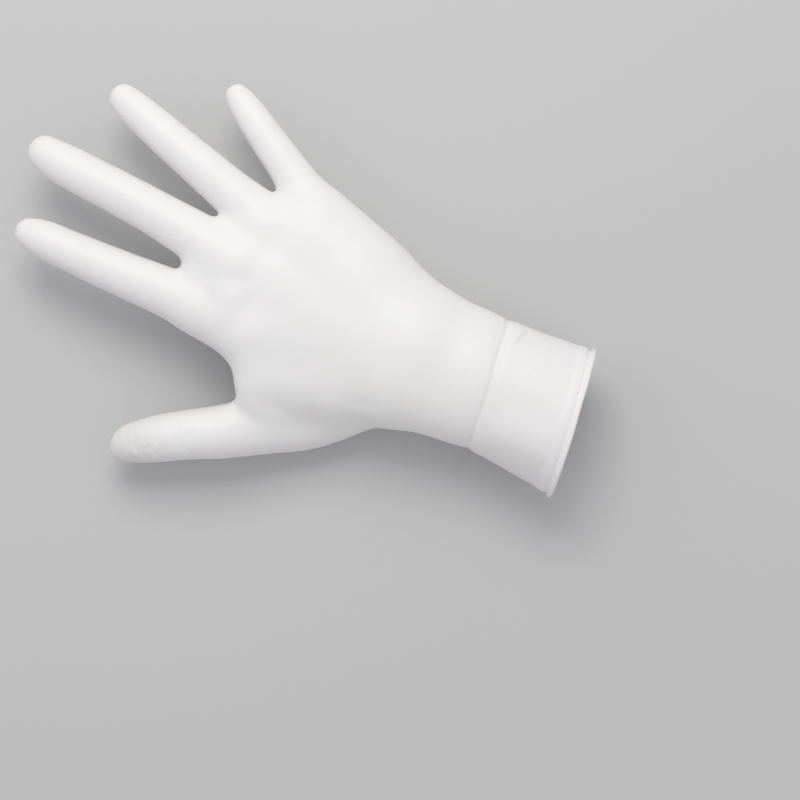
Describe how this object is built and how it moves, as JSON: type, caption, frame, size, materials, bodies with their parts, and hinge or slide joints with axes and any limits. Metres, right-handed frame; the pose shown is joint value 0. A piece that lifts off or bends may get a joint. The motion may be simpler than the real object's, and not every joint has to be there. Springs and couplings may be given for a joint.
{
  "type": "nitrile cleanroom glove",
  "caption": "Thin white nitrile glove for a right hand, fingers spread, hollow from its rolled cuff to the fingertips.",
  "frame": {"origin": "middle of the wrist, where the wearer's wrist goes through the glove", "axes": "+X along the forearm and out of the cuff, +Y towards the little finger, +Z out of the back of the hand"},
  "size_m": [0.246, 0.1548, 0.0483],
  "materials": {
    "nitrile": "satin"
  },
  "bodies": {
    "root": {"glove": "nitrile"}
  },
  "joints": []
}
